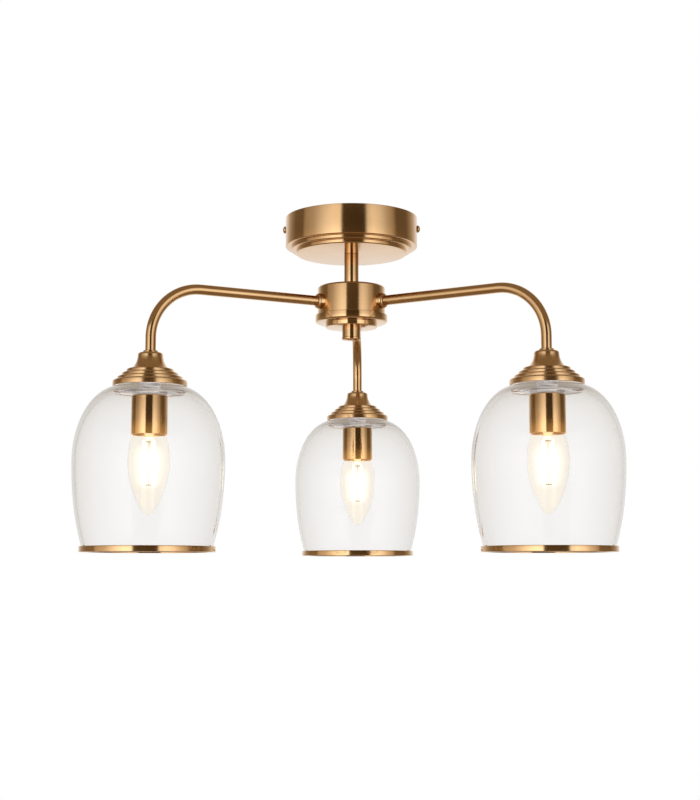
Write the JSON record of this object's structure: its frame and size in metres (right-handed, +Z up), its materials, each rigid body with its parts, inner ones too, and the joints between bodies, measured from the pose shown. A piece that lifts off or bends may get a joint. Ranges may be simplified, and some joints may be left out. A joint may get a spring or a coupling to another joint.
{
  "type": "semi-flush ceiling light",
  "caption": "Semi-flush ceiling light: stepped round canopy, short stem, hub with curved arms, clear bell glass shades with metal rims, and screw-in candle bulbs.",
  "frame": {"origin": "centre of the ceiling bracket's top face, in the plane of the ceiling", "axes": "+Z up into the ceiling, +Y along the first arm, +X along the bracket"},
  "size_m": [0.46, 0.4154, 0.3042],
  "materials": {
    "brass": "satin brushed antique brass",
    "steel": "zinc-plated",
    "block_plastic": "moulded",
    "gasket": "matt",
    "contact_metal": "bare",
    "clear_glass": "clear, polished",
    "bulb_glass": "clear, thin",
    "filament": "lit",
    "bulb_metal": "nickel look",
    "solder": "soldered",
    "holder_plastic": "moulded",
    "lead_insulation": "extruded"
  },
  "bodies": {
    "fixture": {"canopy": "brass", "canopy_screws": "brass", "stem": "brass", "hub_body": "brass", "hub_cover": "brass", "hub_finial": "brass", "arm_end_rings": "brass", "arm_1": "brass", "arm_collar_1": "brass", "shade_cap_1": "brass", "shade_rim_1": "brass", "lampholder_sleeve_1": "brass", "arm_2": "brass", "arm_collar_2": "brass", "shade_cap_2": "brass", "shade_rim_2": "brass", "lampholder_sleeve_2": "brass", "arm_3": "brass", "arm_collar_3": "brass", "shade_cap_3": "brass", "shade_rim_3": "brass", "lampholder_sleeve_3": "brass", "ceiling_bracket": "steel", "earth_screw": "steel", "terminal_screws": "steel", "canopy_tube": "steel", "stem_washer": "steel", "stem_top_nut": "steel", "hub_tube": "steel", "hub_nut": "steel", "arm_lock_nuts": "steel", "cap_lock_nuts": "steel", "terminal_block": "block_plastic", "shade_upper_washers": "gasket", "shade_lower_washers": "gasket", "lampholder_contacts": "contact_metal", "lampholder_thread_1": "contact_metal", "lampholder_thread_2": "contact_metal", "lampholder_thread_3": "contact_metal", "shade_glass_1": "clear_glass", "shade_glass_2": "clear_glass", "shade_glass_3": "clear_glass", "lampholder_1": "holder_plastic", "lampholder_2": "holder_plastic", "lampholder_3": "holder_plastic", "lamp_lead_1": "lead_insulation", "lamp_lead_2": "lead_insulation", "lamp_lead_3": "lead_insulation"},
    "bulb_1_tip": {"bulb_contact_1": "solder"},
    "bulb_2_tip": {"bulb_contact_2": "solder"},
    "bulb_3_tip": {"bulb_contact_3": "solder"},
    "bulb_1": {"bulb_cap_1": "bulb_metal", "bulb_glass_1": "bulb_glass", "bulb_filament_1": "filament"},
    "bulb_2": {"bulb_cap_2": "bulb_metal", "bulb_glass_2": "bulb_glass", "bulb_filament_2": "filament"},
    "bulb_3": {"bulb_cap_3": "bulb_metal", "bulb_glass_3": "bulb_glass", "bulb_filament_3": "filament"}
  },
  "joints": [
    {"name": "bulb_1_travel", "type": "slide", "parent": "fixture", "child": "bulb_1_tip", "axis": [0, 0, -1], "range_m": [0, 0.01128]},
    {"name": "bulb_1_turn", "type": "hinge", "parent": "bulb_1_tip", "child": "bulb_1", "pos_m": [0, 0.192, -0.19], "axis": [0, 0, -1], "range_deg": [0, 1440]},
    {"name": "bulb_2_travel", "type": "slide", "parent": "fixture", "child": "bulb_2_tip", "axis": [0, 0, -1], "range_m": [0, 0.01128]},
    {"name": "bulb_2_turn", "type": "hinge", "parent": "bulb_2_tip", "child": "bulb_2", "pos_m": [-0.16628, -0.096, -0.19], "axis": [0, 0, -1], "range_deg": [0, 1440]},
    {"name": "bulb_3_travel", "type": "slide", "parent": "fixture", "child": "bulb_3_tip", "axis": [0, 0, -1], "range_m": [0, 0.01128]},
    {"name": "bulb_3_turn", "type": "hinge", "parent": "bulb_3_tip", "child": "bulb_3", "pos_m": [0.16628, -0.096, -0.19], "axis": [0, 0, -1], "range_deg": [0, 1440]}
  ],
  "couplings": [
    {"joint": "bulb_1_turn", "follows": "bulb_1_travel", "rad_per_m": 2228},
    {"joint": "bulb_2_turn", "follows": "bulb_2_travel", "rad_per_m": 2228},
    {"joint": "bulb_3_turn", "follows": "bulb_3_travel", "rad_per_m": 2228}
  ]
}
